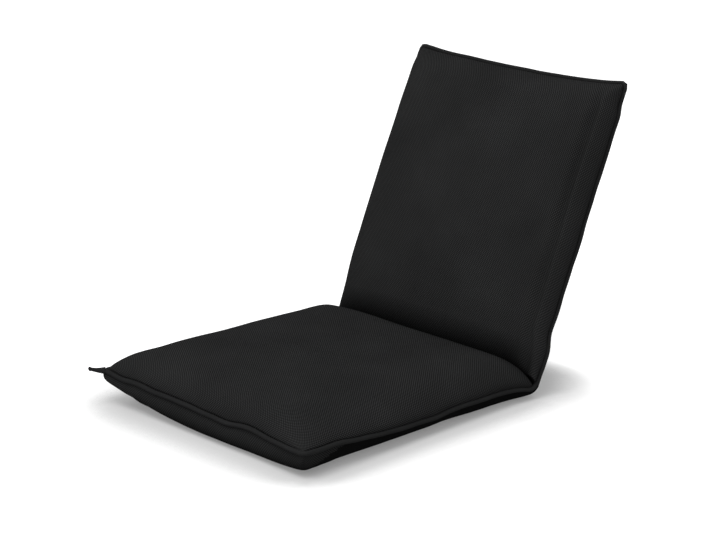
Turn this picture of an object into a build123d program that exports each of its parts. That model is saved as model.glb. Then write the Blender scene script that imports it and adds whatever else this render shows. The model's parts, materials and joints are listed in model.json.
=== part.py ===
"""Folding floor chair: two padded halves on one hinge line, with no legs.

Each half is a bent steel tube under elastic straps, a foam slab and a fabric cover.
A ratchet hinge on each side joins the halves: two cheek plates are riveted to the seat
tube, and a toothed arm between them is plugged into the back tube.  A pawl drops into
the teeth at six backrest angles, and a ring on the pivot lifts it clear to release.

Frame: +Z up, +X to the sitter's left, the seat faces -Y.  The origin is on the floor,
below the middle of the chair.  Millimetres and degrees.

Both halves are drawn in their own (s, n) plane: s runs from the hinge axis to the far
seam of that half, and n points out of the side that is sat on or leaned against.
"""

import os
from math import cos, radians, sin

from build123d import *

os.makedirs("parts", exist_ok=True)

# ---------------------------------------------------------------- driving dimensions
HALF_WIDTH = 208.0  # centre line to side seam
SEAT_LENGTH = 446.0  # hinge axis to the middle of the front seam
BACK_LENGTH = 448.0  # hinge axis to the middle of the top seam
EDGE_SAG = 9.0  # how far the front and top seams are drawn in between their corners
HINGE_HEIGHT = 22.0  # hinge axis above the floor
REST_ANGLE = 116.0  # between seat and back as the chair stands in use

# Cushion sections
SEAT_SEAM_RISE = 20.0  # front seam above the hinge axis
SEAT_CREASE_REACH = 53.0  # hinge axis to the seat's roll, along the crease
SEAT_FRONT_TOP = 58.0  # top of the seat at its front, above the hinge axis
SEAT_CROWN = 5.0  # how far the seat's top bows up between crease and front
BACK_SEAM_SET = -3.0  # back seam behind the hinge axis
BACK_CREASE_REACH = 53.0
BACK_FACE = 43.0  # leaning face at the top end, in front of the hinge axis
BACK_CROWN = 5.0
BACK_REAR = -21.5  # rear panel, behind the hinge axis
EDGE_ROUND = 18.0  # depth of the rounding at the front and top ends
UNDER_ROUND = 16.0  # the same on the underside and rear
CREASE_CLEARANCE = 0.4  # half the gap between the two cushions at the crease
TOP_SQUARENESS = 7.0  # the larger, the nearer to the sides the top stays level
TOP_FULLNESS = 0.75  # the smaller, the steeper the side wall
UNDER_SQUARENESS = 18.0
UNDER_FULLNESS = 0.5
TOP_BOW = 0.40  # how far a rounded end bows out towards its corner
UNDER_BOW = 0.3
EDGE_CLOSE = 0.12  # share of the full depth that is left at the side seam
FLAT_CUT = 0.5  # depth to which the underside is cut flat where it meets the floor
COVER_WALL = 1.6  # fabric with its backing
FOAM_CLEARANCE = 0.3
HINGE_ROOM = 1.5  # free space that foam and fabric leave round each hinge
FRAME_ROOM = 0.8
MOUTH = 12.0  # the underside is open this far from the hinge line

# Frame
TUBE_R = 7.5
TUBE_WALL = 1.2
FRAME_SET = -10.5  # tube axis behind the hinge axis, in both halves
FRAME_BEND = 45.0
FRAME_END_GAP = 30.0  # tube axis to the front or top seam
PAWL_LOBE_R = 8.5
HINGE_INSET = 44.0  # side seam to the middle of the hinge and of the side tube
CROSS_BAR_R = 6.0
CROSS_BAR_WALL = 1.0
CROSS_BAR_AT = 112.0
WELD_GAP = 0.05

# Straps
STRAP_WIDTH = 40.0
STRAP_THICK = 1.0
STRAP_CLEARANCE = 0.3
STRAP_LOOP = 34.0  # length of the sewn loop, inward from the tube axis
SEAT_STRAPS = 5
BACK_STRAPS = 5
STRAP_FIRST = 150.0

# Ratchet hinge
PLATE = 2.5  # cheek thickness
GEAR_THICK = 4.0
RING_THICK = 1.2
SIDE_PLAY = 0.2  # beside each moving plate
CHEEK_R = 19.0
TAIL_R = 8.5
TAIL_END = 54.0  # pivot to the centre of the cheek's tail
PIVOT_R = 4.0
PIVOT_PLAY = 0.08
PIVOT_HEAD_R = 7.0
PIVOT_HEAD = 1.5
RIVET_R = 2.0
RIVET_HEAD_R = 3.6
RIVET_HEAD = 1.2
RIVET_PLAY = 0.05
PLUG_R = TUBE_R - TUBE_WALL - 0.1
TANG_START = 41.0
TAIL_GAP = 0.3  # from the end of the cheeks to the plug's collar
BACK_TUBE_START = 50.0
PLUG_LENGTH = 34.0
ARM_R = 11.0
ARM_END_R = 6.0
ARM_END_SET = 3.4  # from the tube's end back to the centre of the arm's round end
RIVET_SET = 14.0  # rivet through tube and plug, from the tube's end
COLLAR = 4.0  # thick ring of a plug, against the tube's end

# Ratchet teeth, seen from +X, with angles from +Y towards +Z at rest
TEETH = 6
TOOTH_PITCH = 16.0
TIP_R = 15.0
ROOT_R = 12.5
NOSE_AT = 217.0  # where the pawl's nose meets the gear
FIRST_TOOTH_TURN = 16.0  # turn of the back, from rest, at which the first gap meets the nose
FOLD_TURN = 80.0  # turn of the back, from rest, to its storage fold
LOW_MARGIN = 10.0  # the low sector runs this far past the nose at the storage fold
LOCK_FACE = 3.5  # steep face of a gap, past its centre
RAMP_FOOT = -1.0
LOCK_LEAN = 3.2  # the steep face opens by this much, to let the nose swing in
RAMP_TOP = -6.5
NOSE_PLAY = 0.5
NOSE_TIP_R = 13.0
NOSE_SHOULDER_R = 15.8
NOSE_BACK_R = 20.0
PAWL_PIVOT = (-26.0, 1.0)
PAWL_BOSS_R = 4.5
PAWL_PIN_R = 2.5
PAWL_DROP = 8.5  # turn of the pawl from lifted to engaged
RING_R = 12.2
LOBE_R = 15.1
RING_TURN = 24.0
SPRING_THICK = 0.5
SPRING_HEIGHT = -15.5  # where the leaf leaves the tang
SPRING_BOW = -17.0
SPRING_GAP = 1.0  # from the pawl's back to the middle of the spring's tip
SPRING_TIP_SET = 0.0

# Piping
PIPING_R = 2.6
PIPING_STAND_OFF = 0.3
PIPING_START = 24.0

# ---------------------------------------------------------------- derived places
BACK_RISE = 180.0 - REST_ANGLE  # slope of the back from +Y towards +Z
CREASE_ANGLE = REST_ANGLE / 2  # crease plane from either cushion's own plane
BACK_REACH = (BACK_LENGTH + EDGE_SAG) * cos(radians(BACK_RISE)) - BACK_REAR * sin(
    radians(BACK_RISE)
) / 2
HINGE_Y = (SEAT_LENGTH + EDGE_SAG - BACK_REACH) / 2
HINGE_X = HALF_WIDTH - HINGE_INSET
LAYER_GAP = GEAR_THICK + RING_THICK + 3 * SIDE_PLAY  # between a hinge's cheeks
GAP_INNER = HINGE_X - LAYER_GAP / 2
GAP_OUTER = HINGE_X + LAYER_GAP / 2
GEAR_FACE = GAP_INNER + SIDE_PLAY
RING_FACE = GEAR_FACE + GEAR_THICK + SIDE_PLAY
SEAT_TUBE_START = TAIL_END + TAIL_R + TAIL_GAP + COLLAR
TAIL_RIVETS = [(-TAIL_END + TAIL_R, FRAME_SET), (-TAIL_END - TAIL_R / 3, FRAME_SET)]


def polar(radius, angle):
    """A point of the hinge's side view."""
    return (radius * cos(radians(angle)), radius * sin(radians(angle)))


def turned(point, centre, angle):
    """The point after a turn about a centre."""
    dy, dz = point[0] - centre[0], point[1] - centre[1]
    c, s = cos(radians(angle)), sin(radians(angle))
    return (centre[0] + c * dy - s * dz, centre[1] + s * dy + c * dz)


def axis_point(x):
    return (x, HINGE_Y, HINGE_HEIGHT)


def hinge_plane(x):
    """Side view of the hinge: local x is +Y and local y is +Z."""
    return Plane(origin=axis_point(x), x_dir=(0, 1, 0), z_dir=(1, 0, 0))


def seat_plane(x=0.0):
    """(s, n) plane of the seat; its normal is -X."""
    return Plane(origin=axis_point(x), x_dir=(0, -1, 0), z_dir=(-1, 0, 0))


def back_plane(x=0.0):
    """(s, n) plane of the back; its normal is +X."""
    along = (0, *polar(1, BACK_RISE))
    return Plane(origin=axis_point(x), x_dir=along, z_dir=(1, 0, 0))


def across(half, s):
    """Plane square to s, with local x along +X and local y along n."""
    origin = half.origin + half.x_dir * s
    return Plane(origin=origin, x_dir=(1, 0, 0), z_dir=Vector(1, 0, 0).cross(half.y_dir))


def facing(half, n=0.0):
    """Plane parallel to the half's tube frame, with local x along +X and local y along s."""
    origin = half.origin + half.y_dir * n
    return Plane(origin=origin, x_dir=(1, 0, 0), z_dir=Vector(1, 0, 0).cross(half.x_dir))


def finish(part, name):
    """Label a finished piece and write it out."""
    part.label = name
    export_step(part, f"parts/{name}.step")


def finish_pair(part, name):
    """Write the piece of the right-hand hinge and its mirror image."""
    finish(part, f"{name}_left")
    finish(mirror(part, about=Plane.YZ), f"{name}_right")


# ---------------------------------------------------------------- cushions
class Half:
    """What differs between the seat's and the back's cushion."""

    def __init__(self, plane, length, seam_start, seam_end, reach, end_top, crown, under):
        self.plane = plane
        self.length = length
        self.seam_start = seam_start
        self.seam_end = seam_end
        self.reach = reach
        self.end_top = end_top
        self.crown = crown
        self.under = under

    def seam(self, s):
        """Height of the seam line at s."""
        return self.seam_start + (self.seam_end - self.seam_start) * s / self.length


SEAT = Half(
    seat_plane(), SEAT_LENGTH, 0.0, SEAT_SEAM_RISE, SEAT_CREASE_REACH,
    SEAT_FRONT_TOP, SEAT_CROWN, -HINGE_HEIGHT - FLAT_CUT,
)
BACK = Half(
    back_plane(), BACK_LENGTH, BACK_SEAM_SET, BACK_SEAM_SET, BACK_CREASE_REACH,
    BACK_FACE, BACK_CROWN, BACK_REAR,
)


def falloff(share, squareness, fullness):
    """Share of the full depth that is left at a share of the half width."""
    return max(EDGE_CLOSE, (1 - share**squareness) ** fullness)


def between(a, b, share):
    return tuple(p + share * (q - p) for p, q in zip(a, b))


def soft_corner(start, corner, end, bow):
    """An arc from start to end that bows towards the corner."""
    return ThreePointArc(start, between(between(start, end, 0.5), corner, bow), end)


STATIONS = [0.0, 0.25, 0.5, 0.7, 0.83, 0.92, 0.97, 1.0]  # shares of the half width


def cushion_section(half, share, inset):
    """Closed outline of a cushion at one station, in its (s, n) plane."""
    top = falloff(share, TOP_SQUARENESS, TOP_FULLNESS)
    under = falloff(share, UNDER_SQUARENESS, UNDER_FULLNESS)
    end = half.length + EDGE_SAG * share**2 - inset
    start = CREASE_CLEARANCE / sin(radians(CREASE_ANGLE)) + inset
    seam_in, seam_out = half.seam(start), half.seam(end)
    reach = (half.reach - inset) * top
    lean = polar(reach, CREASE_ANGLE)
    roll = (start + lean[0], seam_in + lean[1])
    brim = (end - EDGE_ROUND * top, seam_out + (half.end_top - inset - half.seam_end) * top)
    toe = (end - UNDER_ROUND * under, seam_out + (half.under + inset - seam_out) * under)
    heel = (start + 2, seam_in + (half.under + inset - seam_in) * under)
    rise = (start, seam_in)
    hem = (end, seam_out)
    crest = between(roll, brim, 0.12)
    middle = between(crest, brim, 0.5)
    middle = (middle[0], middle[1] + half.crown * top)
    Line(rise, between(rise, roll, 0.6))
    soft_corner(between(rise, roll, 0.6), roll, crest, TOP_BOW)
    ThreePointArc(crest, middle, brim)
    soft_corner(brim, (end, brim[1]), hem, TOP_BOW)
    soft_corner(hem, (end, toe[1]), toe, UNDER_BOW)
    Line(toe, heel)
    Line(heel, rise)


def cushion(half, inset):
    """The cushion's outer form, drawn in by an inset on every side."""
    width = HALF_WIDTH - inset
    shares = [-u for u in reversed(STATIONS[1:])] + STATIONS
    with BuildPart() as form:
        for share in shares:
            with BuildSketch(half.plane.offset(share * width)):
                with BuildLine():
                    cushion_section(half, abs(share), inset)
                make_face()
        loft(ruled=True)
        split(bisect_by=Plane.XY, keep=Keep.TOP)
    return form.part


def seam_direction(half):
    """Unit vector along the side seam, away from the hinge."""
    rise = half.seam(half.length) - half.seam(0)
    return (half.plane.x_dir * half.length + half.plane.y_dir * rise).normalized()


def seam_plane(half):
    """Plane of the seam that runs round the cushion, with its normal out of the top."""
    normal = Vector(1, 0, 0).cross(seam_direction(half))
    if normal.dot(half.plane.y_dir) < 0:
        normal = -normal
    origin = half.plane.origin + half.plane.y_dir * half.seam(0)
    return Plane(origin=origin, x_dir=(1, 0, 0), z_dir=normal)


def cheek_outline(grow=0.0):
    """Side view of a cheek: round the pivot, round the pawl's pin, and the tail."""
    Circle(CHEEK_R + grow)
    with Locations(PAWL_PIVOT):
        Circle(PAWL_LOBE_R + grow)
    with Locations((-TAIL_END, FRAME_SET)):
        Circle(TAIL_R + grow)
    make_hull()


def arm_outline(grow=0.0):
    """Side view of a gear arm before its teeth are cut."""
    Circle(ARM_R + grow)
    with Locations((BACK_TUBE_START - ARM_END_SET, FRAME_SET)):
        Circle(ARM_END_R + grow)
    make_hull()
    Circle(TIP_R + grow)


def hinge_room():
    """Room for both hinges and the ends of their arms, cut out of foam and fabric."""
    depth = GAP_OUTER - GAP_INNER + 2 * (PLATE + PIVOT_HEAD + HINGE_ROOM)
    with BuildPart() as room:
        for side in (-1, 1):
            with BuildSketch(hinge_plane(side * HINGE_X)):
                cheek_outline(HINGE_ROOM)
            extrude(amount=depth / 2, both=True)
            with BuildSketch(back_plane(side * HINGE_X)):
                arm_outline(HINGE_ROOM)
            extrude(amount=depth / 2, both=True)
    return room.part


def frame_room(half):
    """Pocket for the tube frame and its straps, open at the underside and at the hinge."""
    side = HINGE_X + TUBE_R + STRAP_CLEARANCE + STRAP_THICK + FRAME_ROOM
    far = half.length - FRAME_END_GAP + TUBE_R + FRAME_ROOM
    top = FRAME_SET + TUBE_R + STRAP_CLEARANCE + STRAP_THICK + FOAM_CLEARANCE
    with BuildPart() as room:
        with BuildSketch(facing(half.plane, (top + half.under) / 2)):
            with BuildLine():
                FilletPolyline(
                    (-side, -CHEEK_R), (-side, far), (side, far), (side, -CHEEK_R),
                    radius=FRAME_BEND + TUBE_R,
                )
                Line((-side, -CHEEK_R), (side, -CHEEK_R))
            make_face()
        extrude(amount=(top - half.under) / 2, both=True)
    return room.part


def make_foam(half, name):
    with BuildPart() as foam:
        add(cushion(half, COVER_WALL + FOAM_CLEARANCE))
        add(frame_room(half), mode=Mode.SUBTRACT)
        add(hinge_room(), mode=Mode.SUBTRACT)
    finish(foam.part, name)


def make_covers(half, top_name, under_name):
    """The fabric above the seam, closed down into the crease, and the fabric below it."""
    outside = cushion(half, 0)
    inside = cushion(half, COVER_WALL)
    seam = seam_plane(half)
    with BuildPart() as top:
        add(outside)
        add(inside, mode=Mode.SUBTRACT)
        split(bisect_by=seam, keep=Keep.TOP)
        add(hinge_room(), mode=Mode.SUBTRACT)
    finish(top.part, top_name)
    with BuildPart() as under:
        add(outside)
        add(inside, mode=Mode.SUBTRACT)
        split(bisect_by=seam, keep=Keep.BOTTOM)
        add(hinge_room(), mode=Mode.SUBTRACT)
        with BuildSketch(half.plane):
            with Locations((0, half.under + COVER_WALL)):
                Rectangle(MOUTH, -half.under, align=(Align.CENTER, Align.MIN))
        extrude(amount=HALF_WIDTH - COVER_WALL, both=True, mode=Mode.SUBTRACT)
    finish(under.part, under_name)


def make_piping(half, name):
    """Corded edge along the seam, from one side of the hinge line round to the other."""
    off = PIPING_R + PIPING_STAND_OFF
    side = HALF_WIDTH + off
    along = seam_direction(half)
    slant = 1 / along.dot(half.plane.x_dir)
    middle = half.length * slant + off
    corner = (half.length + EDGE_SAG) * slant + off
    origin = half.plane.origin + half.plane.y_dir * half.seam(0)
    with BuildPart() as piping:
        with BuildLine(Plane(origin=origin, x_dir=(1, 0, 0), z_dir=Vector(1, 0, 0).cross(along))) as path:
            Line((-side, PIPING_START), (-side, corner))
            ThreePointArc((-side, corner), (0, middle), (side, corner))
            Line((side, corner), (side, PIPING_START))
            ends = path.vertices().sort_by_distance(origin)
            fillet(ends[-2:], off)
        with BuildSketch(path.line ^ 0):
            Circle(PIPING_R)
        sweep()
    finish(piping.part, name)


# ---------------------------------------------------------------- frame
def make_frame(half, tube_start, name):
    """U-shaped tube: two side legs and the front or top run, in one bend each."""
    far = half.length - FRAME_END_GAP
    with BuildPart() as tube:
        with BuildLine(facing(half.plane, FRAME_SET)) as path:
            FilletPolyline(
                (-HINGE_X, tube_start), (-HINGE_X, far), (HINGE_X, far), (HINGE_X, tube_start),
                radius=FRAME_BEND,
            )
        with BuildSketch(path.line ^ 0):
            Circle(TUBE_R)
            Circle(TUBE_R - TUBE_WALL, mode=Mode.SUBTRACT)
        sweep()
        add(rivet_shanks(half, tube_start, RIVET_R + RIVET_PLAY, 4 * TUBE_R), mode=Mode.SUBTRACT)
    finish(tube.part, name)


def rivet_plane(half, side, tube_start):
    """Plane of the tube's axis at the rivet through tube and plug."""
    plane = facing(half.plane, FRAME_SET)
    return Plane(
        origin=plane.from_local_coords((side * HINGE_X, tube_start + RIVET_SET)),
        x_dir=plane.x_dir, z_dir=plane.z_dir,
    )


def rivet_shanks(half, tube_start, radius, length):
    """Round bars along both rivets through the side tubes."""
    with BuildPart() as shanks:
        for side in (-1, 1):
            with BuildSketch(rivet_plane(half, side, tube_start)):
                Circle(radius)
            extrude(amount=length / 2, both=True)
    return shanks.part


def make_cross_bar(half, name):
    """Straight tube between the legs, its ends coped to fit them."""
    with BuildPart() as bar:
        with BuildSketch(half.plane):
            with Locations((CROSS_BAR_AT, FRAME_SET)):
                Circle(CROSS_BAR_R)
                Circle(CROSS_BAR_R - CROSS_BAR_WALL, mode=Mode.SUBTRACT)
        extrude(amount=HINGE_X, both=True)
        with BuildSketch(across(half.plane, CROSS_BAR_AT)):
            with Locations((-HINGE_X, FRAME_SET), (HINGE_X, FRAME_SET)):
                Circle(TUBE_R + WELD_GAP)
        extrude(amount=2 * CROSS_BAR_R, both=True, mode=Mode.SUBTRACT)
    finish(bar.part, name)


def strap_section():
    """A strap seen along the half: a flat band with a sewn loop round each side tube."""
    band_under = FRAME_SET + TUBE_R + STRAP_CLEARANCE
    reach = TUBE_R + STRAP_CLEARANCE
    inner_end = HINGE_X - STRAP_LOOP
    with BuildSketch() as hollow:
        with Locations((HINGE_X, FRAME_SET)):
            Circle(reach)
        with Locations((inner_end + 4 * STRAP_THICK, band_under)):
            Circle(STRAP_THICK / 5)
        make_hull()
    with BuildSketch() as loop:
        with Locations((HINGE_X, FRAME_SET)):
            Circle(reach + STRAP_THICK)
        with Locations((inner_end, band_under)):
            Circle(STRAP_THICK)
        make_hull()
        add(hollow.sketch, mode=Mode.SUBTRACT)
    add(loop.sketch)
    mirror(loop.sketch, about=Plane.YZ)
    with Locations((0, band_under + STRAP_THICK / 2)):
        Rectangle(2 * inner_end, STRAP_THICK)


def make_straps(half, count, name):
    first = STRAP_FIRST
    last = half.length - FRAME_END_GAP - FRAME_BEND - STRAP_WIDTH / 2 - STRAP_CLEARANCE
    with BuildPart() as straps:
        for i in range(count):
            with BuildSketch(across(half.plane, first + i * (last - first) / (count - 1))):
                strap_section()
        extrude(amount=STRAP_WIDTH / 2, both=True)
    finish(straps.part, name)


# ---------------------------------------------------------------- ratchet hinge, on the +X side
def pin_holes():
    """Holes through a cheek for the pivot, the pawl's pin and the two tail rivets."""
    Circle(PIVOT_R + PIVOT_PLAY, mode=Mode.SUBTRACT)
    with Locations(PAWL_PIVOT):
        Circle(PAWL_PIN_R + PIVOT_PLAY, mode=Mode.SUBTRACT)
    with Locations(*TAIL_RIVETS):
        Circle(RIVET_R + RIVET_PLAY, mode=Mode.SUBTRACT)


def make_cheeks():
    for start, name in ((GAP_INNER - PLATE, "hinge_inner_cheek"), (GAP_OUTER, "hinge_outer_cheek")):
        with BuildPart() as cheek:
            with BuildSketch(hinge_plane(start)):
                cheek_outline()
                pin_holes()
            extrude(amount=PLATE)
        finish_pair(cheek.part, name)


def make_pin(radius, head_radius, head, places, name):
    """Pins through both cheeks, each with a low head at either end."""
    length = GAP_OUTER - GAP_INNER + 2 * PLATE
    with BuildPart() as pin:
        with BuildSketch(hinge_plane(HINGE_X)):
            with Locations(*places):
                Circle(radius)
        extrude(amount=length / 2, both=True)
        for side, way in ((-1, -1), (1, 1)):
            with BuildSketch(hinge_plane(HINGE_X + side * length / 2)):
                with Locations(*places):
                    Circle(head_radius)
            extrude(amount=way * head)
    finish_pair(pin.part, name)


def tube_plug(half, tube_start):
    """Collar against the tube's end and round plug inside it, drilled for the rivet."""
    with BuildPart() as plug:
        for radius, start, end in (
            (TUBE_R, tube_start - COLLAR, tube_start),
            (PLUG_R, tube_start, tube_start + PLUG_LENGTH),
        ):
            with BuildSketch(across(half.plane, (start + end) / 2)):
                with Locations((HINGE_X, FRAME_SET)):
                    Circle(radius)
            extrude(amount=(end - start) / 2, both=True)
        add(rivet_shanks(half, tube_start, RIVET_R + RIVET_PLAY, 4 * TUBE_R), mode=Mode.SUBTRACT)
    return plug.part


def make_seat_plug():
    """Flat tang between the cheeks' tails, ending in a plug inside the seat tube."""
    with BuildPart() as plug:
        with BuildSketch(hinge_plane(GAP_INNER)):
            with Locations(((-TANG_START - SEAT_TUBE_START + COLLAR) / 2, FRAME_SET)):
                Rectangle(SEAT_TUBE_START - COLLAR - TANG_START, 2 * PLUG_R)
        extrude(amount=LAYER_GAP)
        add(tube_plug(SEAT, SEAT_TUBE_START))
        with BuildSketch(hinge_plane(GAP_INNER)):
            with Locations(*TAIL_RIVETS):
                Circle(RIVET_R + RIVET_PLAY)
        extrude(amount=LAYER_GAP, mode=Mode.SUBTRACT)
    finish_pair(plug.part, "seat_tube_plug")


def tooth_gap(at):
    """Outline of one gap between teeth, on the back's plane, with its steep face leading."""
    out = TIP_R + 1
    with BuildSketch() as gap:
        with BuildLine():
            Polyline(
                polar(out, at + LOCK_FACE + LOCK_LEAN), polar(ROOT_R, at + LOCK_FACE),
                polar(ROOT_R, at + RAMP_FOOT), polar(TIP_R, at + RAMP_TOP),
                polar(out, at + RAMP_TOP), close=True,
            )
        make_face()
    return gap.sketch


def make_gear_arm():
    """Toothed disc round the pivot, its arm, and the plug inside the back tube."""
    first = NOSE_AT - BACK_RISE - FIRST_TOOTH_TURN
    low_from = NOSE_AT - BACK_RISE - FOLD_TURN - LOW_MARGIN
    low_to = first - TOOTH_PITCH / 2
    with BuildPart() as arm:
        with BuildSketch(back_plane(GEAR_FACE)):
            arm_outline()
        extrude(amount=GEAR_THICK)
        with BuildSketch(back_plane(GEAR_FACE)):
            for i in range(TEETH):
                add(tooth_gap(first + i * TOOTH_PITCH))
            with BuildLine():
                CenterArc((0, 0), ROOT_R, low_from, low_to - low_from)
                Line(polar(ROOT_R, low_to), polar(TIP_R + 1, low_to))
                CenterArc((0, 0), TIP_R + 1, low_from, low_to - low_from)
                Line(polar(TIP_R + 1, low_from), polar(ROOT_R, low_from))
            make_face()
        extrude(amount=GEAR_THICK, mode=Mode.SUBTRACT)
        add(tube_plug(BACK, BACK_TUBE_START))
        with BuildSketch(back_plane(GEAR_FACE)):
            Circle(PIVOT_R + PIVOT_PLAY)
        extrude(amount=GEAR_THICK, mode=Mode.SUBTRACT)
    finish_pair(arm.part, "gear_arm")


def make_tube_rivet(half, tube_start, name):
    """Rivet through the tube and its plug, on both sides of the chair."""
    with BuildPart() as rivet:
        add(rivet_shanks(half, tube_start, RIVET_R, 2 * TUBE_R))
        for side in (-1, 1):
            plane = rivet_plane(half, side, tube_start)
            for way in (-1, 1):
                with BuildSketch(plane.offset(way * TUBE_R)):
                    Circle(RIVET_HEAD_R)
                extrude(amount=way * RIVET_HEAD)
    finish(rivet.part, name)


def lifted(radius, angle):
    """A point of the engaged pawl, turned with it to where it rides on the ring."""
    return turned(polar(radius, angle), PAWL_PIVOT, -PAWL_DROP)


def make_pawl():
    boss = Vector(*PAWL_PIVOT)
    nose = Vector(*lifted(NOSE_TIP_R, NOSE_AT))
    reach = (nose - boss).normalized()
    side = Vector(-reach.Y, reach.X) * PAWL_BOSS_R
    with BuildPart() as pawl:
        with BuildSketch(hinge_plane(GEAR_FACE)):
            with BuildLine():
                Polyline(
                    (boss.X + side.X, boss.Y + side.Y),
                    lifted(NOSE_SHOULDER_R, NOSE_AT + RAMP_TOP + NOSE_PLAY),
                    lifted(NOSE_TIP_R, NOSE_AT + RAMP_FOOT + NOSE_PLAY),
                    lifted(NOSE_TIP_R, NOSE_AT + LOCK_FACE - NOSE_PLAY),
                    lifted(NOSE_BACK_R, NOSE_AT + LOCK_FACE - NOSE_PLAY),
                    (boss.X - side.X, boss.Y - side.Y),
                    close=True,
                )
            make_face()
            with Locations(PAWL_PIVOT):
                Circle(PAWL_BOSS_R)
                Circle(PAWL_PIN_R + PIVOT_PLAY, mode=Mode.SUBTRACT)
        extrude(amount=GEAR_THICK + SIDE_PLAY + RING_THICK)
    finish_pair(pawl.part, "pawl")


def make_ring():
    """Release ring: a washer whose lobe holds the pawl up and falls away as it turns."""
    lobe_from = NOSE_AT - RING_TURN / 2
    top_to = NOSE_AT + RAMP_FOOT
    with BuildPart() as ring:
        with BuildSketch(hinge_plane(RING_FACE)):
            with BuildLine():
                Line(polar(RING_R - 1, lobe_from), polar(LOBE_R, lobe_from))
                CenterArc((0, 0), LOBE_R, lobe_from, top_to - lobe_from)
                Line(polar(LOBE_R, top_to), polar(RING_R, top_to + RING_TURN))
                Line(polar(RING_R, top_to + RING_TURN), polar(RING_R - 1, top_to + RING_TURN))
                Line(polar(RING_R - 1, top_to + RING_TURN), polar(RING_R - 1, lobe_from))
            make_face()
            Circle(RING_R)
            Circle(PIVOT_R + PIVOT_PLAY, mode=Mode.SUBTRACT)
        extrude(amount=RING_THICK)
    finish_pair(ring.part, "release_ring")


def make_spring():
    """Leaf spring from the tang to the pawl's back, bowed under the pawl."""
    heel = (-TANG_START, SPRING_HEIGHT)
    tip = lifted(NOSE_BACK_R + SPRING_GAP, NOSE_AT + SPRING_TIP_SET)
    with BuildPart() as spring:
        with BuildSketch(hinge_plane(GEAR_FACE)):
            with BuildLine() as bow:
                ThreePointArc(heel, ((heel[0] + tip[0]) / 2, SPRING_BOW), tip)
                offset(amount=SPRING_THICK, side=Side.LEFT)
            make_face()
        extrude(amount=GEAR_THICK)
    finish_pair(spring.part, "pawl_spring")


# ---------------------------------------------------------------- the chair
make_foam(SEAT, "seat_foam")
make_covers(SEAT, "seat_cover_top", "seat_cover_underside")
make_piping(SEAT, "seat_piping")
make_frame(SEAT, SEAT_TUBE_START, "seat_frame_tube")
make_cross_bar(SEAT, "seat_cross_bar")
make_straps(SEAT, SEAT_STRAPS, "seat_straps")

make_foam(BACK, "back_foam")
make_covers(BACK, "back_cover_front", "back_cover_rear")
make_piping(BACK, "back_piping")
make_frame(BACK, BACK_TUBE_START, "back_frame_tube")
make_cross_bar(BACK, "back_cross_bar")
make_straps(BACK, BACK_STRAPS, "back_straps")

make_cheeks()
make_seat_plug()
make_gear_arm()
make_pawl()
make_ring()
make_spring()
make_pin(PIVOT_R, PIVOT_HEAD_R, PIVOT_HEAD, [(0, 0)], "hinge_pivot_pin")
make_pin(PAWL_PIN_R, RIVET_HEAD_R, RIVET_HEAD, [PAWL_PIVOT], "pawl_pin")
make_pin(RIVET_R, RIVET_HEAD_R, RIVET_HEAD, TAIL_RIVETS, "cheek_rivets")
make_tube_rivet(SEAT, SEAT_TUBE_START, "seat_tube_rivets")
make_tube_rivet(BACK, BACK_TUBE_START, "back_tube_rivets")
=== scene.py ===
import json
from math import cos, hypot, pi, radians, sin

import bmesh
import bpy
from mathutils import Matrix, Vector, noise


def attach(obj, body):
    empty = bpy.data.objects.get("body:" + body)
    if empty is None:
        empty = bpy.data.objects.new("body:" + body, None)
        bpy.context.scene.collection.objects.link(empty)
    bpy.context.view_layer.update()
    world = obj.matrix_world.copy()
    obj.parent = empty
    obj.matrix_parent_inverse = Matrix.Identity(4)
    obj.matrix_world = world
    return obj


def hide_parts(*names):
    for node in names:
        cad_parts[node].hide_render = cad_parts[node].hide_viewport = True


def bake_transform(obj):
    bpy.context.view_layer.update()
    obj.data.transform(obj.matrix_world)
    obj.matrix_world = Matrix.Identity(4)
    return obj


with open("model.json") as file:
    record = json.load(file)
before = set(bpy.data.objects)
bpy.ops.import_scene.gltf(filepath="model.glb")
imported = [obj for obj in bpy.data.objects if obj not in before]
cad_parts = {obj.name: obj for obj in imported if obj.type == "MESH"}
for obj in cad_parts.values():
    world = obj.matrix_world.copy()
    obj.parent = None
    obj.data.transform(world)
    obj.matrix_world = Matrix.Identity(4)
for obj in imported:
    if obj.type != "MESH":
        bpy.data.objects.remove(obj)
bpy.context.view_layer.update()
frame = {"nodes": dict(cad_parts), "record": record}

# Sizes in metres, as in the CAD source.
HALF_WIDTH = 0.208
SEAT_LENGTH = 0.446
BACK_LENGTH = 0.448
HINGE = Vector((0, 0.122501, 0.022))
REST_ANGLE = 116.0
CREASE = radians(REST_ANGLE / 2)  # the crease, from either half's own plane
BACK_RISE = radians(180 - REST_ANGLE)
ACROSS_CREASE = Vector((0, sin(CREASE), cos(CREASE)))
EDGE_SAG = 0.009  # how far the front and top seams are drawn in between their corners
PIPING_R = 0.0034
PIPING_SET = 0.0021  # the welt's centre lies this far outside the seam
FRAME_TOP = -0.0012  # foam rests on the straps at this n
FRAME_HALF = 0.1755  # and goes down round the frame's outside beyond this x
FRAME_FAR = 0.0205  # the frame's far run ends this far from the front or top seam
HINGE_X = 0.164
HINGE_CLEAR = 0.0215  # the foam's pocket over a hinge goes up to this n
HINGE_REACH = 0.068  # and this far from the hinge line
HINGE_HALF = 0.0125
CREASE_OVER_HINGE = 0.0240  # along the crease, from the hinge line to its bottom over a hinge
FOAM_INSET = 0.0045  # from the cover to the foam inside it
FOAM_LIFT = 0.25 * FOAM_INSET  # the seat foam's edge over a hinge lies this much higher, clear of the pawl
FOAM_LEAST = 0.002  # thickness of the foam where a hinge's pocket cuts it short
FOAM_SIDE = 0.009  # from the side seam to the foam


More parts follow.
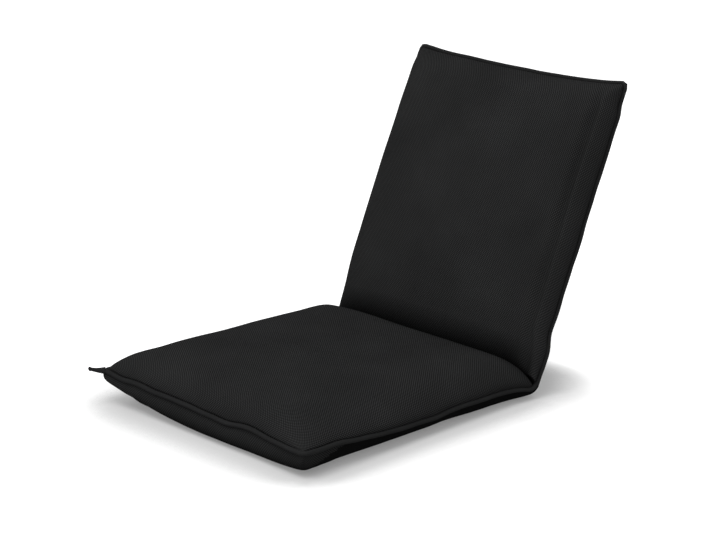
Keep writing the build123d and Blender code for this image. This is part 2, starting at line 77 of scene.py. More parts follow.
# ---------------------------------------------------------------- form of the halves
class Half:
    """One padded half, drawn in its (s, n) plane: s from the hinge, n out of the padded face."""

    def __init__(self, along, out, length, seam_start, seam_end, reach, top, crown, under):
        self.along = along
        self.out = out
        self.length = length
        self.seam_start = seam_start
        self.seam_end = seam_end
        self.reach = reach
        self.top = top
        self.crown = crown
        self.under = under

    def point(self, x, s, n):
        return HINGE + Vector((x, 0, 0)) + self.along * s + self.out * n


SEAT = Half(
    Vector((0, -1, 0)), Vector((0, 0, 1)), SEAT_LENGTH, 0.0, 0.020, 0.0565, 0.058, 0.006, -0.0212,
)
BACK = Half(
    Vector((0, cos(BACK_RISE), sin(BACK_RISE))), Vector((0, -sin(BACK_RISE), cos(BACK_RISE))),
    BACK_LENGTH, -0.002, 0.0, 0.041, 0.043, 0.006, -0.0215,
)


def smooth(t):
    t = min(max(t, 0.0), 1.0)
    return t * t * (3 - 2 * t)


def bump(t, middle, width):
    """A soft hump of height 1 at the middle, gone at the width's ends."""
    d = abs(t - middle) / width
    return 0.5 + 0.5 * cos(pi * d) if d < 1 else 0.0


def mix(a, b, t):
    return tuple(p + (q - p) * t for p, q in zip(a, b))


def wave(a, b, size, seed):
    """Smooth noise from about -1 to 1, the same on each run."""
    return noise.noise(Vector((a / size + 11.3 * seed, b / size - 5.7 * seed, 3.1 * seed)))


def through(stops, t):
    """Smooth line through (place, value) stops."""
    for (a, low), (b, high) in zip(stops, stops[1:]):
        if t <= b:
            return low + (high - low) * smooth((t - a) / (b - a))
    return stops[-1][1]


# How far the sewn seam wanders up or down, along the front and along the right-hand side.
FRONT_WANDER = (
    (-1.0, 0.0030), (-0.72, 0.0050), (-0.50, 0.0020), (-0.18, -0.0002), (0.02, -0.0024), (0.21, -0.0042),
    (0.46, 0.0016), (0.72, -0.0026), (1.0, -0.0022),
)
SIDE_WANDER = (
    (0.0, -0.0060), (0.034, -0.0016), (0.07, 0.0004), (0.13, 0.0008), (0.175, 0.0015), (0.211, -0.0020),
    (0.316, -0.0022), (0.352, -0.0010), (0.404, 0.0010), (0.455, -0.0022),
)


def ends_at(half, u):
    """Where the front or top seam lies at the share u of the half width."""
    edge = half.length + 0.0008 + EDGE_SAG * abs(u) ** 2.6
    if half is BACK:
        edge += 0.0016 + 0.0010 * smooth((u - 0.82) / 0.18) - 0.0020 * smooth((-u - 0.45) / 0.4)
    return edge


def half_width(half, s, side):
    """From the middle to the side seam, on the side of the sign given."""
    wide = HALF_WIDTH - 0.0002 + 0.0008 * wave(s, side, 0.05, 8.0)
    if half is BACK and side < 0:
        wide -= 0.0025 + 0.0075 * (1 - smooth(s / 0.12))
    if half is SEAT and side > 0:
        wide += 0.0050 * (1 - smooth(s / 0.05))
    if half is BACK and side > 0:
        wide += 0.0015 + 0.0065 * (1 - smooth((s - 0.05) / 0.03))
        wide -= 0.0022 * smooth((s - 0.20) / 0.10) + 0.0048 * smooth((s - 0.41) / 0.02)
    return wide


def seam_height(half, u, s):
    """The seam that joins the padded side to the under side."""
    t = min(max(s / half.length, 0), 1)
    n = half.seam_start + (half.seam_end - half.seam_start) * t
    side = smooth((abs(u) - 0.6) / 0.4)
    if half is SEAT:
        n -= 0.0055 * side * bump(t, 0.55, 0.5)
        front = smooth((t - 0.85) / 0.15)
        n += 0.007 * smooth((-u - 0.8) / 0.2) * front + through(FRONT_WANDER, u) * front
        n += through(SIDE_WANDER, s) * smooth((u - 0.6) / 0.4) * (1 - front)
    n += 0.0013 * wave(u * HALF_WIDTH, s, 0.045, 1.0 if half is SEAT else 2.0) * smooth(s / 0.06)
    return n


def top_depth(half, u):
    """Share of the full depth that the padded side keeps at the share u of the half width."""
    if half is SEAT:
        return (1 - abs(u) ** 7.5) ** 0.52 if u < 0 else (1 - u**6) ** 0.54
    if u < 0:
        return (1 - abs(u) ** 6.5) ** 0.58
    # A firm edge stands up a little, with a shallow valley inside it.
    shoulder = 0.16 * smooth((u - 0.865) / 0.07)
    return (1 - u**100) ** 0.5 * (1 - shoulder) * (1 - 0.05 * bump(u, 0.94, 0.03))


def under_depth(half, u, s):
    """The same below the seam. At the right-hand front corner the filling stands out as a foot."""
    a = abs(u)
    hinge = 1 - smooth((s - 0.03) / 0.15)
    if half is BACK:
        return (1 - a ** (16 + 18 * hinge)) ** 0.5
    front = smooth((s - half.length + 0.075) / 0.04)
    if u < 0:
        front = smooth((s - half.length + 0.025) / 0.016)
        side = (1 - a**16) ** 0.5
        corner = (1 - a**90) ** 0.5 * (1 - 0.60 * a**2)
    else:
        side = (1 - a ** (15 + 15 * hinge)) ** 0.55
        corner = (1 - a**50) ** 0.5 * (1 - 0.25 * a**5)
    return side + (corner - side) * front


def swell(half, u, s):
    """Soft hollows and swellings of the stuffed fabric, along n."""
    side = 1 - abs(u) ** 6
    lift = 0.0016 * wave(u * HALF_WIDTH, s, 0.11, 3.0 if half is SEAT else 4.0)
    lift += 0.0006 * wave(u * HALF_WIDTH, s, 0.035, 5.0)
    return lift * side


# How far the seat's top edge stands above its straight line along the left side, by s.
LEFT_LEAN = ((0.0, -0.0055), (0.10, -0.0050), (0.24, -0.0045), (0.36, 0.0), (0.41, 0.0040), (0.47, 0.0020))


def edge_lean(u, s):
    """How far the seat's top edge stands above or below its straight line, at the left and at the right."""
    left = through(LEFT_LEAN, s) * smooth((-u - 0.3) / 0.6)
    right = 0.012 * smooth((u - 0.48) / 0.52) * smooth((s - 0.12) / 0.22)
    return left - right


def bezier(p0, p1, p2, p3, count, ease=1.0):
    """Points of a cubic, without its last one."""
    points = []
    for i in range(count):
        t = (i / count) ** ease
        a, b, c, d = (1 - t) ** 3, 3 * t * (1 - t) ** 2, 3 * t * t * (1 - t), t**3
        points.append(tuple(a * w + b * x + c * y + d * z for w, x, y, z in zip(p0, p1, p2, p3)))
    return points


def tuck(rise, deep, wide):
    """How far the fabric is drawn in close over its seam."""
    return deep * sin(pi * min(max(rise / wide, 0.0), 1.0) ** 0.7)


def padded_outline(half, u, inset=0.0):
    """Section of the padded side, from the front or top seam to the bottom of the crease."""
    depth = top_depth(half, u)
    end = ends_at(half, u) - inset
    seam = seam_height(half, u, end)
    high = seam + (half.top - inset - seam) * depth
    brim = (end - 0.046, high)
    reach = (half.reach - inset) * ((1 - abs(u) ** 13) ** 0.5 if half is SEAT else depth)
    reach += 0.0055 * smooth((-u - 0.1) / 0.6) * depth if half is SEAT else 0.0
    lean = (reach * cos(CREASE), reach * sin(CREASE))
    start = (0.0003 + inset / sin(CREASE), half.seam_start)
    roll = (start[0] + lean[0], start[1] + lean[1])
    crest = mix(roll, brim, 0.16 if half is SEAT else 0.21)
    if half is SEAT:
        rim = (end + 0.004 * depth, seam + 0.62 * (high - seam)), (end - 0.016, high)
    else:
        rim = (end - 0.001, seam + 0.30 * (high - seam)), (end - 0.010 - 0.004 * depth, high)
    points = bezier((end, seam), *rim, brim, 20, 1.6)
    points = [(s - tuck(n - seam, 0.0015, 0.0045) * depth, n) for s, n in points]
    for i in range(34):
        t = i / 34
        s, n = mix(brim, crest, t)
        points.append((s, n + half.crown * depth * 4 * t * (1 - t) * (1 - 0.3 * t)))
    hill = CREASE_OVER_HINGE + (FOAM_LIFT if inset and half is SEAT else 0.0)
    hill *= smooth((0.030 - abs(abs(u) * HALF_WIDTH - HINGE_X)) / 0.012)
    hill = min(hill, 0.85 * reach)
    low = mix(start, roll, max(0.62, (hill + 0.0005) / max(reach, 1e-6)) if reach > 0.004 else 0.62)
    bottom = mix(start, roll, hill / max(reach, 1e-6))
    near, far = (0.80, 0.05) if half is SEAT else (0.42, 0.38)
    points += bezier(crest, mix(crest, roll, near), mix(roll, start, far), low, 16)
    points += bezier(low, mix(low, bottom, 0.33), mix(low, bottom, 0.67), bottom, 8)
    points.append(bottom)
    # Where the section has flattened into the side seam, it follows the seam's own line.
    flat = abs(u) ** 24
    shaped = []
    for s, n in points:
        base = seam + (half.seam_start - seam) * min(max((brim[0] - s) / brim[0], 0.0), 1.0)
        n += (seam_height(half, u, s) - base) * flat
        rise = smooth((half.length - s) / 0.05) * smooth(s / 0.07)
        share = min(max((n - seam) / max(high - seam, 1e-6), 0.0), 1.0) if half is SEAT else 0.0
        shaped.append((s, n + swell(half, u, s) * rise + edge_lean(u, s) * share * depth))
    return shaped


def under_outline(half, u):
    """Section of the underside or rear, from the front or top seam to below the hinge."""
    end = ends_at(half, u)
    seam = seam_height(half, u, end)
    low = seam + (half.under - seam) * under_depth(half, u, end)
    swollen = 0.006 * (1 - u * u) + 0.004 * smooth((-u - 0.75) / 0.25) if half is SEAT else 0.0
    toe = (end - 0.018, low)
    points = bezier(
        (end, seam), (end + 0.003 + swollen, seam + 0.45 * (low - seam)), (end + swollen, low), toe, 16,
    )
    for i in range(61):
        s = toe[0] * (1 - (i / 60) ** 1.4)
        line = seam_height(half, u, s)
        points.append((s, line + (half.under - line) * under_depth(half, u, s)))
    return points


def grid_mesh(name, rows, uv_rows):
    """Mesh of quads through rows of points, with its UVs in metres."""
    mesh = bpy.data.meshes.new(name)
    wide = len(rows[0])
    verts = [tuple(p) for row in rows for p in row]
    faces, corners = [], []
    for j in range(len(rows) - 1):
        for i in range(wide - 1):
            quad = (j * wide + i, j * wide + i + 1, (j + 1) * wide + i + 1, (j + 1) * wide + i)
            faces.append(quad)
            corners += quad
    mesh.from_pydata(verts, [], faces)
    layer = mesh.uv_layers.new(name="cloth")
    flat_uv = [p for row in uv_rows for p in row]
    for k, index in enumerate(corners):
        layer.data[k].uv = flat_uv[index]
    for polygon in mesh.polygons:
        polygon.use_smooth = True
    mesh.update()
    piece = bpy.data.objects.new(name, mesh)
    bpy.context.scene.collection.objects.link(piece)
    return piece


def shares(count, squeeze):
    """Shares from -1 to 1, closer together towards the sides."""
    found = []
    for i in range(count + 1):
        t = 2 * i / count - 1
        found.append((1 - squeeze) * t + squeeze * sin(t * pi / 2))
    return found


ACROSS = shares(112, 0.97)


def across_at(half, u, s):
    """From the middle of the cover, at the share u of its half width."""
    return u * half_width(half, s, u)


def stuffed_at(half, u, s, n):
    """across_at on the padded side, which swells out over its seam."""
    share = min(max((n - seam_height(half, u, s)) / 0.042, 0.0), 1.0)
    out = 0.0055 * smooth((share + 0.1) / 0.42) * (1 - smooth((share - 0.35) / 0.65)) * smooth(share / 0.08)
    out -= tuck(share * 0.042, 0.0027 if half is BACK else 0.0016, 0.0075 if half is BACK else 0.0050)
    if half is BACK and u < 0:
        out *= 0.2
    if half is SEAT and u < 0:
        out *= 1 - smooth((s - 0.38) / 0.05)
    return across_at(half, u, s) + out * (1 if u > 0 else -1) * abs(u) ** 12


def tucked_at(half, u, s, n):
    """across_at below the seam, with small folds along the sides and a full front corner on the left."""
    x = across_at(half, u, s)
    share = min(max((seam_height(half, u, s) - n) / 0.03, 0.0), 1.0)
    x += 0.0014 * wave(s, n, 0.018, 9.0) * share * abs(u) ** 10
    if half is SEAT and u < 0:
        x -= 0.0060 * sin(pi * share) * smooth((-u - 0.86) / 0.14) * smooth((s - 0.40) / 0.04)
    return x


def measured(rows):
    """UVs in metres: over the cloth from its middle row, and along that row."""
    middle = len(rows) // 2
    run, along = 0.0, [0.0]
    for a, b in zip(rows[middle], rows[middle][1:]):
        run += (b - a).length
        along.append(run)
    found = [None] * len(rows)
    found[middle] = [(0.0, d) for d in along]
    for step in (1, -1):
        j = middle + step
        while 0 <= j < len(rows):
            found[j] = [
                (before[0] + step * (p - q).length, before[1])
                for before, p, q in zip(found[j - step], rows[j], rows[j - step])
            ]
            j += step
    return found


def front_skin():
    """The fabric that is sat on: front seam, seat, crease, back and top seam in one piece."""
    rows = []
    for u in ACROSS:
        seat = [SEAT.point(stuffed_at(SEAT, u, s, n), s, n) for s, n in padded_outline(SEAT, u)]
        back = [BACK.point(stuffed_at(BACK, u, s, n), s, n) for s, n in padded_outline(BACK, u)]
        rows.append(seat + back[::-1])
    return grid_mesh("front_fabric", rows, measured(rows))


def under_skin():
    """The fabric below and behind, carried round the hinge line in an arc."""
    rows = []
    for u in ACROSS:
        seat = [SEAT.point(tucked_at(SEAT, u, s, n), s, n) for s, n in under_outline(SEAT, u)]
        back = [BACK.point(tucked_at(BACK, u, s, n), s, n) for s, n in under_outline(BACK, u)]
        start, stop = seat[-1] - HINGE, back[-1] - HINGE
        first, last = radians(-90), radians(-90) + BACK_RISE
        turn = []
        for i in range(1, 8):
            t = i / 8
            angle = first + (last - first) * t
            radius = hypot(start.y, start.z) * (1 - t) + hypot(stop.y, stop.z) * t
            x = start.x + (stop.x - start.x) * t
            turn.append(HINGE + Vector((x, radius * cos(angle), radius * sin(angle))))
        rows.append(seat + turn + back[::-1])
    rows = rows[::-1]
    return grid_mesh("under_fabric", rows, measured(rows))


def foam_floor(half, x, s, edge):
    """Under side of a foam slab: over the straps, round the frame and over the hinges."""
    outside = max(smooth((abs(x) - FRAME_HALF) / 0.004), smooth((s - half.length + FRAME_FAR) / 0.004))
    n = FRAME_TOP * (1 - outside) + edge * outside
    over = smooth((HINGE_HALF + 0.004 - abs(abs(x) - HINGE_X)) / 0.004) * smooth((HINGE_REACH - s) / 0.006)
    return n + (HINGE_CLEAR - n) * over


def height_at(outline, s):
    """The outline's highest point at s."""
    found = [
        b + (d - b) * (s - a) / (c - a)
        for (a, b), (c, d) in zip(outline, outline[1:]) if a != c and min(a, c) <= s <= max(a, c)
    ]
    return max(found, default=outline[-1][1])


def foam_x(half, u, s):
    """From the middle of the foam, at the share u of its half width."""
    return u * (half_width(half, s, u) - FOAM_SIDE)


def foam_slab(half, name):
    """One foam slab inside the cover, with its pocket for frame and hinges."""
    rows = []
    for u in shares(76, 0.35):
        top = padded_outline(half, u * 0.955, FOAM_INSET)
        first, last = top[-1][0], top[0][0]
        under = []
        for i in range(49):
            s = first + (last - first) * i / 48
            seam = seam_height(half, u, s)
            edge = seam + (half.under + 0.0055 - seam) * 0.9 * under_depth(half, u, s)
            roof = max(height_at(top, s) - FOAM_LEAST, seam)
            under.append((s, min(foam_floor(half, foam_x(half, u, s), s, edge), roof)))
        outline = top + under[1:-1]
        rows.append([half.point(foam_x(half, u, s), s, n) for s, n in outline])
    rows = [row + [row[0]] for row in rows]
    piece = grid_mesh(name, rows, measured(rows))
    mesh = bmesh.new()
    mesh.from_mesh(piece.data)
    bmesh.ops.remove_doubles(mesh, verts=mesh.verts, dist=1e-6)
    bmesh.ops.holes_fill(mesh, edges=[e for e in mesh.edges if e.is_boundary], sides=0)
    bmesh.ops.recalc_face_normals(mesh, faces=mesh.faces)
    mesh.to_mesh(piece.data)
    mesh.free()
    return piece


def end_seam(half, span):
    """The front or top seam, at these shares of the half width."""
    ends = [(u, ends_at(half, u)) for u in span]
    return [half.point(across_at(half, u, s), s, seam_height(half, u, s)) for u, s in ends]


def side_seam(half, side, order):
    """The side seam on the side of the sign given, at these seventieths of the length."""
    places = [ends_at(half, 1) * i / 70 for i in order]
    return [half.point(side * half_width(half, s, side), s, seam_height(half, side, s)) for s in places]


def seam_path():
    """The seam right round the cover: front, +X side, top, -X side."""
    span = shares(60, 0.3)
    inward, outward_order = range(69, -1, -1), range(1, 70)
    path = end_seam(SEAT, span)
    path += side_seam(SEAT, 1, inward) + side_seam(BACK, 1, outward_order)
    path += end_seam(BACK, span[::-1])
    return path + side_seam(BACK, -1, inward) + side_seam(SEAT, -1, outward_order)


def smoothed(path, rounds):
    """A closed path with its corners eased."""
    for _ in range(rounds):
        path = [
            (path[i - 1] + path[i] * 2 + path[(i + 1) % len(path)]) / 4 for i in range(len(path))
        ]
    return path


def outward(i, path):
    """Away from the cover in the plane of its seam, out of the padded face, and along the seam."""
    along = (path[(i + 1) % len(path)] - path[i - 1]).normalized()
    p = path[i]
    near = smooth(0.5 + (p - HINGE).dot(ACROSS_CREASE) / 0.06)
    out = (SEAT.out * (1 - near) + BACK.out * near).normalized()
    return along.cross(out).normalized(), out, along


def make_piping():
    """Corded welt along the seam, in one length, a little waved by the sewing."""
    path = smoothed(seam_path(), 1)
    rings, uvs = [], []
    run = 0.0
    count = 12
    for i, p in enumerate(path):
        side, out, along = outward(i, path)
        if i:
            run += (p - path[i - 1]).length
        radius = PIPING_R * (1 + 0.07 * wave(p.x + p.z, p.y, 0.02, 6.0))
        centre = p + side * (PIPING_SET + 0.0004 * wave(p.x, p.y + p.z, 0.03, 7.0))
        ring, uv = [], []
        for k in range(count + 1):
            angle = 2 * pi * k / count
            ring.append(centre + side * radius * cos(angle) + out * radius * sin(angle))
            uv.append((run, angle * PIPING_R))
        rings.append(ring)
        uvs.append(uv)
    rings.append(rings[0])
    uvs.append([(run + (path[0] - path[-1]).length, v) for _, v in uvs[0]])
    return grid_mesh("piping_cord", rings, uvs)


# ---------------------------------------------------------------- materials
class Shader:
    """A new material, with short ways to add its nodes."""

    def __init__(self, name, roughness=0.5, specular=0.5, metallic=0.0):
        self.material = bpy.data.materials.new(name)
        self.material.use_nodes = True
        self.tree = self.material.node_tree
        self.surface = self.tree.nodes["Principled BSDF"]
        self.surface.inputs["Roughness"].default_value = roughness
        self.surface.inputs["Specular IOR Level"].default_value = specular
        self.surface.inputs["Metallic"].default_value = metallic

    def feed(self, socket, value):
        if isinstance(value, bpy.types.NodeSocket):
            self.tree.links.new(value, socket)
        else:
            socket.default_value = value

    def math(self, kind, a, b=0.5, c=0.5):
        made = self.tree.nodes.new("ShaderNodeMath")
        made.operation = kind
        for socket, value in zip(made.inputs, (a, b, c)):
            self.feed(socket, value)
        return made.outputs[0]

    def cloth(self, turn=0.0):
        """Place on the cloth in metres, turned by degrees."""
        uv = self.tree.nodes.new("ShaderNodeUVMap")
        uv.uv_map = "cloth"
        mapping = self.tree.nodes.new("ShaderNodeMapping")
        mapping.inputs["Rotation"].default_value = (0, 0, radians(turn))
        self.feed(mapping.inputs["Vector"], uv.outputs["UV"])
        return mapping.outputs["Vector"]

    def place(self, stretch=(1, 1, 1)):
        """Place in the object's own metres."""
        mapping = self.tree.nodes.new("ShaderNodeMapping")
        mapping.inputs["Scale"].default_value = stretch
        self.feed(mapping.inputs["Vector"], self.tree.nodes.new("ShaderNodeTexCoord").outputs["Object"])
        return mapping.outputs["Vector"]

    def waves(self, vector, across, along, kind="COSINE"):
        """Product of two waves of these lengths: a field of offset cells, +1 and -1 in turn."""
        parts = self.tree.nodes.new("ShaderNodeSeparateXYZ")
        self.feed(parts.inputs[0], vector)
        x = self.math(kind, self.math("MULTIPLY", parts.outputs[0], 2 * pi / across))
        y = self.math(kind, self.math("MULTIPLY", parts.outputs[1], 2 * pi / along))
        return self.math("MULTIPLY", x, y)

    def noise(self, vector, scale, detail=3.0):
        made = self.tree.nodes.new("ShaderNodeTexNoise")
        made.inputs["Scale"].default_value = scale
        made.inputs["Detail"].default_value = detail
        self.feed(made.inputs["Vector"], vector)
        return made.outputs["Fac"]

    def rise(self, value, low, high):
        """From 0 to 1 in a smooth step."""
        made = self.tree.nodes.new("ShaderNodeMapRange")
        made.interpolation_type = "SMOOTHSTEP"
        made.inputs["From Min"].default_value = low
        made.inputs["From Max"].default_value = high
        self.feed(made.inputs["Value"], value)
        return made.outputs["Result"]

    def cells(self, vector, scale):
        made = self.tree.nodes.new("ShaderNodeTexVoronoi")
        made.inputs["Scale"].default_value = scale
        self.feed(made.inputs["Vector"], vector)
        return made.outputs["Distance"]

    def ramp(self, value, first, last):
        """From one (place, colour) stop to another."""
        made = self.tree.nodes.new("ShaderNodeValToRGB")
        for element, (place, colour) in zip(made.color_ramp.elements, (first, last)):
            element.position = place
            element.color = (*colour, 1)
        self.feed(made.inputs["Fac"], value)
        return made.outputs["Color"]

    def openness(self, distance, own=False):
        """1 in the open, less in a fold or close to something else. The fabrics and the floor use it to
        paint shade.
        """
        made = self.tree.nodes.new("ShaderNodeAmbientOcclusion")
        made.only_local = own
        made.inputs["Distance"].default_value = distance
        made.samples = 8
        return made.outputs["AO"]

    def colour(self, tone, share=None):
        if share is not None:
            made = self.tree.nodes.new("ShaderNodeVectorMath")
            made.operation = "SCALE"
            self.feed(made.inputs[0], tone)
            self.feed(made.inputs["Scale"], share)
            tone = made.outputs[0]
        self.feed(self.surface.inputs["Base Color"], tone)

    def rough(self, value, low, high):
        self.feed(self.surface.inputs["Roughness"], self.math("MULTIPLY_ADD", value, high - low, low))

    def relief(self, height, strength, distance):
        made = self.tree.nodes.new("ShaderNodeBump")
        made.inputs["Strength"].default_value = strength
        made.inputs["Distance"].default_value = distance
        self.feed(made.inputs["Height"], height)
        self.feed(self.surface.inputs["Normal"], made.outputs["Normal"])


def grey(value, warmth=0.0):
    return (value * (1 + warmth), value, value * (1 - warmth))


def mesh_fabric(name, own, depth):
    """Black air mesh: small open cells in offset rows, each with a knitted rim. Painted shade: its colour
    is darkened by ambient occlusion in its folds, and near other things unless own.
    """
    made = Shader(name, roughness=0.9, specular=0.0)
    made.surface.inputs["Sheen Weight"].default_value = 0.004
    cloth = made.cloth()
    rim = made.waves(cloth, 0.0038, 0.0044)
    share = made.math("MULTIPLY_ADD", rim, -0.5, 0.5)
    tone = made.ramp(share, (0.35, grey(0.0100, -0.01)), (0.85, grey(0.0400, -0.01)))
    cloud = made.math("MULTIPLY_ADD", made.noise(cloth, 9.0), 0.6, 0.7)
    # painted shade: ambient occlusion, raised to the power depth, darkens the base colour in folds
    painted_fold_shade = made.math("POWER", made.openness(0.042, own), depth)
    made.colour(tone, made.math("MULTIPLY", cloud, painted_fold_shade))
    made.relief(made.math("MULTIPLY", rim, -1.0), 0.35, 0.0006)
    return made.material


def woven_fabric(name, shade, pitch, turn=0.0):
    """A plain weave of fine threads over and under each other."""
    made = Shader(name, roughness=0.9, specular=0.02)
    cloth = made.cloth(turn)
    weave = made.waves(cloth, 2 * pitch, 2 * pitch, "SINE")
    cloud = made.math("ADD", made.noise(cloth, 30.0, 4.0), 0.5)
    tone = made.math("MULTIPLY", made.math("MULTIPLY_ADD", weave, 0.25, 0.5), cloud)
    made.colour(made.ramp(tone, (0.0, grey(0.55 * shade, -0.01)), (1.0, grey(1.35 * shade, -0.01))))
    made.relief(weave, 0.5, 0.0003)
    return made.material


def foam_material():
    """Pale open-cell foam, a little yellowed in patches."""
    made = Shader("foam", roughness=0.95, specular=0.2)
    place = made.place()
    cells = made.cells(place, 700.0)
    patches = made.math("MULTIPLY_ADD", made.noise(place, 14.0), 0.5, 0.75)
    made.colour(made.ramp(cells, (0.0, (0.30, 0.29, 0.25)), (0.5, (0.66, 0.64, 0.56))), patches)
    made.relief(cells, 0.5, 0.0005)
    return made.material


def webbing_material():
    """Elastic webbing: fine ribs across the strap, with rubber threads between them."""
    made = Shader("elastic_webbing", roughness=0.85, specular=0.2)
    ribs = made.waves(made.place(), 0.0024, 0.0016, "SINE")
    fuzz = made.noise(made.place(), 900.0)
    share = made.math("MULTIPLY_ADD", ribs, 0.3, fuzz)
    made.colour(made.ramp(share, (0.2, grey(0.028)), (0.9, grey(0.075))))
    made.relief(ribs, 0.6, 0.0003)
    return made.material


def powder_coat():
    """Black powder coat on steel tube, with its fine orange peel."""
    made = Shader("black_powder_coat", specular=0.4)
    place = made.place()
    made.colour(made.ramp(made.noise(place, 45.0), (0.3, grey(0.022)), (0.7, grey(0.038))))
    made.rough(made.noise(place, 20.0), 0.38, 0.60)
    made.relief(made.noise(place, 1300.0, 2.0), 0.3, 0.0001)
    return made.material


def steel(name, dark, light, rough, stretch=(1, 1, 1)):
    """Sheet or wire steel with its plating's tone, scuffs and the lines of rolling."""
    made = Shader(name, metallic=1.0)
    lines = made.noise(made.place(stretch), 260.0, 4.0)
    scuffs = made.noise(made.place(), 70.0, 5.0)
    share = made.math("MULTIPLY", lines, made.math("ADD", scuffs, 0.5))
    made.colour(made.ramp(share, (0.3, dark), (0.7, light)))
    made.rough(scuffs, rough - 0.12, rough + 0.16)
    made.relief(lines, 0.15, 0.0001)
    return made.material


def make_tail():
    """End of the corded welt, left sticking out at the front corner."""
    corner = SEAT.point(-half_width(SEAT, 0.455, -1), ends_at(SEAT, 1), seam_height(SEAT, -1, 0.455))
    out = Vector((-1, -1, 0)).normalized()
    rings, uvs = [], []
    for i in range(17):
        t = i / 16
        centre = corner + out * (0.001 + 0.0250 * t) + Vector((0, 0, 0.0030 * t - 0.0010 * sin(pi * t)))
        radius = 0.0030 * (1 - t) ** 1.6 + 0.0024 + 0.0008 * bump(t, 0.90, 0.13)
        if t > 0.93:
            radius *= max(0.02, 1 - ((t - 0.93) / 0.07) ** 2)
        side = Vector((0, 0, 1)).cross(out)
        ring = []
        for k in range(13):
            angle = 2 * pi * k / 12
            ring.append(centre + side * radius * cos(angle) + Vector((0, 0, 1)) * radius * sin(angle))
        rings.append(ring)
        uvs.append([(0.0265 * t, k * 0.001) for k in range(13)])
    return grid_mesh("piping_tail", rings, uvs)


def in_front_band(place):
    """Whether this place on the under skin, from the hinge line, is in the mesh below the front welt."""
    s, n = place.dot(SEAT.along), place.dot(SEAT.out)
    share = place.x / HALF_WIDTH
    rim = -0.0200 + 0.0025 * smooth((share + 0.4) / 0.9) + 0.0065 * smooth((share - 0.4) / 0.6)
    deep = 0.014
    if share > 0.85:
        rim += 0.36 * max(0.0, SEAT_LENGTH - 0.004 - s)
        deep = 0.11
    elif share < -0.9:
        deep = 0.045
    return s > SEAT_LENGTH - deep and n > rim


MESH_FABRIC = mesh_fabric("mesh_fabric", True, 1.9)
# A copy of the mesh fabric that differs only in painted shade: its occlusion also counts the floor and
# nearby parts.
MESH_BAND_PAINTED_SHADE = mesh_fabric("mesh_fabric_band_painted_shade", False, 0.9)
# The underside's real lining fabric; its very dark tone also stands in for painted shade under the
# tucked-in sides.
LINING_AND_PAINTED_SHADE = woven_fabric("lining_fabric", 0.0044, 0.0009)
PIPING = woven_fabric("piping_fabric", 0.0215, 0.0008, 45.0)

front = front_skin()
front.data.materials.append(MESH_FABRIC)
under = under_skin()
under.data.materials.append(LINING_AND_PAINTED_SHADE)
under.data.materials.append(MESH_BAND_PAINTED_SHADE)
band_slot = len(under.data.materials) - 1
for polygon in under.data.polygons:
    if in_front_band(polygon.center - HINGE):
        polygon.material_index = band_slot
foams = [foam_slab(SEAT, "seat_pad"), foam_slab(BACK, "back_pad")]
FOAM = foam_material()
for piece, body in zip(foams, ("seat", "back")):
    piece.data.materials.append(FOAM)
    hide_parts(body + "_foam")
piping = make_piping()
piping.data.materials.append(PIPING)

tail = make_tail()
tail.data.materials.append(PIPING)
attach(tail, "seat")

# The metal and the straps keep their shapes and get their finishes by the record's slots.
FINISH = {
    "frame_paint": powder_coat(),
    "webbing": webbing_material(),
    "hinge_steel": steel("zinc_plated_steel", (0.32, 0.32, 0.31), (0.52, 0.52, 0.49), 0.38, (1, 0.08, 1)),
    "spring_steel": steel("blued_spring_steel", (0.16, 0.165, 0.19), (0.30, 0.30, 0.33), 0.34),
    "rivet_steel": steel("plated_rivets", (0.42, 0.42, 0.41), (0.60, 0.60, 0.58), 0.30),
}
for entry in frame["record"]["subparts"]:
    part = frame["nodes"][entry["node"]]
    if entry["material_slot"] in FINISH:
        part.data.materials.clear()
        part.data.materials.append(FINISH[entry["material_slot"]])

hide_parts("seat_cover_top", "back_cover_front")
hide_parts("seat_cover_underside", "back_cover_rear")
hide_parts("seat_piping", "back_piping")
for piece in (front, under, piping, *foams):
    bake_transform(piece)

# ---------------------------------------------------------------- camera, light, floor
PHOTO_WIDTH = 716
SENSOR = 36.0
FOCAL_PIXELS = 2313.0
AZIMUTH = radians(45.3)
ELEVATION = radians(17.2)
AIM = Vector((-0.1502, HINGE.y, 0.1172))
DISTANCE = 3.5915
TO_CAMERA = Vector((sin(AZIMUTH) * cos(ELEVATION), -cos(AZIMUTH) * cos(ELEVATION), sin(ELEVATION)))
camera_data = bpy.data.cameras.new("camera")
camera_data.sensor_width = SENSOR
camera_data.lens = SENSOR * FOCAL_PIXELS / PHOTO_WIDTH
camera_data.clip_end = 60
camera = bpy.data.objects.new("camera", camera_data)
camera.location = AIM + TO_CAMERA * DISTANCE
camera.rotation_euler = (-TO_CAMERA).to_track_quat("-Z", "Y").to_euler()
bpy.context.scene.collection.objects.link(camera)
bpy.context.scene.camera = camera


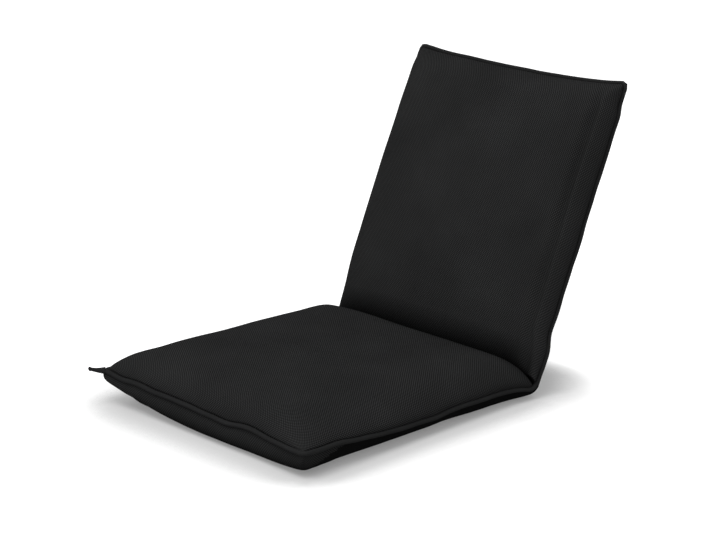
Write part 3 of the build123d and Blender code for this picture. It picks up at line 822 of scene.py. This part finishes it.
def area_light(name, place, target, size, power):
    data = bpy.data.lights.new(name, "AREA")
    data.shape = "DISK"
    data.size = size
    data.energy = power
    lamp = bpy.data.objects.new(name, data)
    lamp.location = place
    lamp.rotation_euler = (Vector(target) - Vector(place)).to_track_quat("-Z", "Y").to_euler()
    bpy.context.scene.collection.objects.link(lamp)


LAMP_SIZE = 2.0
LIT_PLACE = (0, 0, 0.1)
area_light("key_light", (0.5, -1.3, 2.9), LIT_PLACE, LAMP_SIZE, 41)
area_light("fill_light", (-1.4, -2.6, 1.6), LIT_PLACE, LAMP_SIZE, 14)

WORLD_LIGHT = 0.57
world = bpy.data.worlds.new("studio")
bpy.context.scene.world = world
world.use_nodes = True
tree = world.node_tree
background = tree.nodes["Background"]
background.inputs["Color"].default_value = (1, 1, 1, 1)
paths = tree.nodes.new("ShaderNodeLightPath")
seen = tree.nodes.new("ShaderNodeMath")
seen.operation = "MAXIMUM"
tree.links.new(paths.outputs["Is Camera Ray"], seen.inputs[0])
tree.links.new(paths.outputs["Is Glossy Ray"], seen.inputs[1])
strength = tree.nodes.new("ShaderNodeMapRange")
strength.inputs["To Min"].default_value = WORLD_LIGHT
strength.inputs["To Max"].default_value = 1.0  # white, for the camera and for reflections
tree.links.new(seen.outputs[0], strength.inputs["Value"])
tree.links.new(strength.outputs["Result"], background.inputs["Strength"])

FAR = 6
mesh = bpy.data.meshes.new("floor")
mesh.from_pydata([(-FAR, -FAR, 0), (FAR, -FAR, 0), (FAR, FAR, 0), (-FAR, FAR, 0)], [], [(0, 1, 2, 3)])
floor = bpy.data.objects.new("floor", mesh)
bpy.context.scene.collection.objects.link(floor)
# The floor shows white in the open; its glow fades where the object stands close over it, a contact shadow
# painted by ambient occlusion.
ground = Shader("floor", roughness=0.9)
ground.surface.inputs["Base Color"].default_value = (0.60, 0.60, 0.60, 1)
ground.surface.inputs["Emission Color"].default_value = (1, 1, 1, 1)
openness = ground.openness(0.12)
glow_with_painted_shadow = ground.math("MULTIPLY_ADD", ground.rise(openness, 0.80, 0.99), 0.62, 0.19)
seen_only = ground.tree.nodes.new("ShaderNodeLightPath").outputs["Is Camera Ray"]
ground.feed(ground.surface.inputs["Emission Strength"], ground.math("MULTIPLY", glow_with_painted_shadow, seen_only))
mesh.materials.append(ground.material)

bpy.context.scene.view_settings.view_transform = "Standard"
